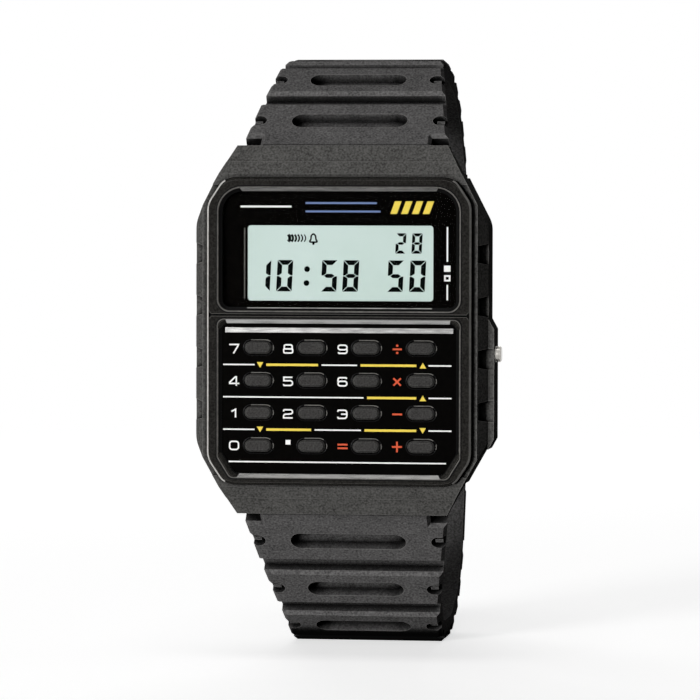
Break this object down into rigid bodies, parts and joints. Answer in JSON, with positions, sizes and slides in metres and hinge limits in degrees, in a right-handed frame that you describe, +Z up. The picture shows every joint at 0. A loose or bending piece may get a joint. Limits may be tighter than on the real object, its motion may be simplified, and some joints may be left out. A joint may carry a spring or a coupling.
{
  "type": "calculator watch",
  "caption": "Digital wristwatch with an octagonal resin case, LCD window, calculator keypad, side pushers and a ribbed resin strap closed in a loop.",
  "frame": {"origin": "on the flat outer face of the lowest strap link, on the centre line, between the link's recess and its front bevel", "axes": "+Z up, towards 12 o'clock; +X towards 3 o'clock, the pusher side; the face looks along -Y"},
  "size_m": [0.0359, 0.0554, 0.0711],
  "materials": {
    "case_resin": "fine-grained black resin",
    "bezel_resin": "fine-grained black resin, slightly smoother",
    "lens_glass": "clear polished",
    "panel_black": "polished black",
    "screen_mint": "pale mint polariser under glass",
    "reflector_foil": "matt foil",
    "strip_silver": "satin silver",
    "key_rubber": "dark grey moulded",
    "membrane_rubber": "silicone",
    "zebra_rubber": "striped silicone",
    "board_green": "solder resist",
    "chip_black": "moulded",
    "can_steel": "drawn",
    "ceramic": "fired",
    "frame_plastic": "moulded",
    "contact_brass": "plated",
    "clear_film": "thin film",
    "back_steel": "brushed",
    "screw_steel": "turned",
    "seal_rubber": "smooth",
    "chrome": "polished",
    "spring_steel": "wire",
    "strap_resin": "fine-grained black resin",
    "buckle_steel": "brushed"
  },
  "bodies": {
    "case": {"case_body": "case_resin", "front_bezel": "bezel_resin", "display_lens": "lens_glass", "display_mask": "panel_black", "lcd_cell": "screen_mint", "lcd_reflector": "reflector_foil", "zebra_connectors": "zebra_rubber", "keypad_panel": "panel_black", "keypad_strip": "strip_silver", "keypad_membrane": "membrane_rubber", "circuit_board": "board_green", "watch_chip": "chip_black", "quartz_crystal": "can_steel", "chip_capacitors": "ceramic", "module_frame": "frame_plastic", "battery": "can_steel", "battery_contact": "contact_brass", "battery_clip": "spring_steel", "insulator_sheet": "clear_film", "piezo_buzzer": "contact_brass", "buzzer_spring": "contact_brass", "case_back": "back_steel", "back_gasket": "seal_rubber", "back_screws": "screw_steel", "pusher_contacts": "contact_brass", "spring_bar_upper": "spring_steel", "spring_bar_lower": "spring_steel", "mode_pusher_spring": "spring_steel", "mode_pusher_seal": "seal_rubber", "adjust_pusher_spring": "spring_steel", "adjust_pusher_seal": "seal_rubber"},
    "mode_pusher": {"mode_pusher": "chrome", "mode_pusher_retainer": "spring_steel"},
    "adjust_pusher": {"adjust_pusher": "chrome", "adjust_pusher_retainer": "spring_steel"},
    "strap_upper": {"strap_upper": "strap_resin", "buckle_bar": "buckle_steel"},
    "strap_lower": {"strap_lower": "strap_resin"},
    "buckle_frame": {"buckle_frame": "buckle_steel"},
    "buckle_prong": {"buckle_prong": "buckle_steel"},
    "strap_keeper": {"strap_keeper": "strap_resin"},
    "key_7": {"key_7": "key_rubber"},
    "key_8": {"key_8": "key_rubber"},
    "key_9": {"key_9": "key_rubber"},
    "key_divide": {"key_divide": "key_rubber"},
    "key_4": {"key_4": "key_rubber"},
    "key_5": {"key_5": "key_rubber"},
    "key_6": {"key_6": "key_rubber"},
    "key_multiply": {"key_multiply": "key_rubber"},
    "key_1": {"key_1": "key_rubber"},
    "key_2": {"key_2": "key_rubber"},
    "key_3": {"key_3": "key_rubber"},
    "key_minus": {"key_minus": "key_rubber"},
    "key_0": {"key_0": "key_rubber"},
    "key_point": {"key_point": "key_rubber"},
    "key_equals": {"key_equals": "key_rubber"},
    "key_plus": {"key_plus": "key_rubber"}
  },
  "joints": [
    {"name": "key_7_press", "type": "slide", "parent": "case", "child": "key_7", "axis": [0, 1, 0], "range_m": [0, 0.00035], "stiffness_N_per_m": 400, "springref_m": -0.0004},
    {"name": "key_8_press", "type": "slide", "parent": "case", "child": "key_8", "axis": [0, 1, 0], "range_m": [0, 0.00035], "stiffness_N_per_m": 400, "springref_m": -0.0004},
    {"name": "key_9_press", "type": "slide", "parent": "case", "child": "key_9", "axis": [0, 1, 0], "range_m": [0, 0.00035], "stiffness_N_per_m": 400, "springref_m": -0.0004},
    {"name": "key_divide_press", "type": "slide", "parent": "case", "child": "key_divide", "axis": [0, 1, 0], "range_m": [0, 0.00035], "stiffness_N_per_m": 400, "springref_m": -0.0004},
    {"name": "key_4_press", "type": "slide", "parent": "case", "child": "key_4", "axis": [0, 1, 0], "range_m": [0, 0.00035], "stiffness_N_per_m": 400, "springref_m": -0.0004},
    {"name": "key_5_press", "type": "slide", "parent": "case", "child": "key_5", "axis": [0, 1, 0], "range_m": [0, 0.00035], "stiffness_N_per_m": 400, "springref_m": -0.0004},
    {"name": "key_6_press", "type": "slide", "parent": "case", "child": "key_6", "axis": [0, 1, 0], "range_m": [0, 0.00035], "stiffness_N_per_m": 400, "springref_m": -0.0004},
    {"name": "key_multiply_press", "type": "slide", "parent": "case", "child": "key_multiply", "axis": [0, 1, 0], "range_m": [0, 0.00035], "stiffness_N_per_m": 400, "springref_m": -0.0004},
    {"name": "key_1_press", "type": "slide", "parent": "case", "child": "key_1", "axis": [0, 1, 0], "range_m": [0, 0.00035], "stiffness_N_per_m": 400, "springref_m": -0.0004},
    {"name": "key_2_press", "type": "slide", "parent": "case", "child": "key_2", "axis": [0, 1, 0], "range_m": [0, 0.00035], "stiffness_N_per_m": 400, "springref_m": -0.0004},
    {"name": "key_3_press", "type": "slide", "parent": "case", "child": "key_3", "axis": [0, 1, 0], "range_m": [0, 0.00035], "stiffness_N_per_m": 400, "springref_m": -0.0004},
    {"name": "key_minus_press", "type": "slide", "parent": "case", "child": "key_minus", "axis": [0, 1, 0], "range_m": [0, 0.00035], "stiffness_N_per_m": 400, "springref_m": -0.0004},
    {"name": "key_0_press", "type": "slide", "parent": "case", "child": "key_0", "axis": [0, 1, 0], "range_m": [0, 0.00035], "stiffness_N_per_m": 400, "springref_m": -0.0004},
    {"name": "key_point_press", "type": "slide", "parent": "case", "child": "key_point", "axis": [0, 1, 0], "range_m": [0, 0.00035], "stiffness_N_per_m": 400, "springref_m": -0.0004},
    {"name": "key_equals_press", "type": "slide", "parent": "case", "child": "key_equals", "axis": [0, 1, 0], "range_m": [0, 0.00035], "stiffness_N_per_m": 400, "springref_m": -0.0004},
    {"name": "key_plus_press", "type": "slide", "parent": "case", "child": "key_plus", "axis": [0, 1, 0], "range_m": [0, 0.00035], "stiffness_N_per_m": 400, "springref_m": -0.0004},
    {"name": "mode_press", "type": "slide", "parent": "case", "child": "mode_pusher", "axis": [-1, 0, 0], "range_m": [0, 0.0005], "stiffness_N_per_m": 800, "springref_m": -0.0005},
    {"name": "adjust_press", "type": "slide", "parent": "case", "child": "adjust_pusher", "axis": [-1, 0, 0], "range_m": [0, 0.0005], "stiffness_N_per_m": 800, "springref_m": -0.0005},
    {"name": "strap_upper_swing", "type": "hinge", "parent": "case", "child": "strap_upper", "pos_m": [0, -0.02164, 0.05895], "axis": [1, 0, 0], "range_deg": [0, 45]},
    {"name": "strap_lower_swing", "type": "hinge", "parent": "case", "child": "strap_lower", "pos_m": [0, -0.02164, 0.01855], "axis": [1, 0, 0], "range_deg": [-45, 0]},
    {"name": "buckle_swing", "type": "hinge", "parent": "strap_upper", "child": "buckle_frame", "pos_m": [0, 0.02461, 0.03436], "axis": [1, 0, 0], "range_deg": [0, 90]},
    {"name": "prong_swing", "type": "hinge", "parent": "buckle_frame", "child": "buckle_prong", "pos_m": [0, 0.02461, 0.03436], "axis": [1, 0, 0], "range_deg": [0, 40]},
    {"name": "keeper_slide", "type": "slide", "parent": "strap_upper", "child": "strap_keeper", "axis": [0, 0, 1], "range_m": [-0.0024, 0.0024]}
  ],
  "couplings": [
    {"joint": "strap_lower_swing", "follows": "strap_upper_swing", "ratio": -1}
  ]
}
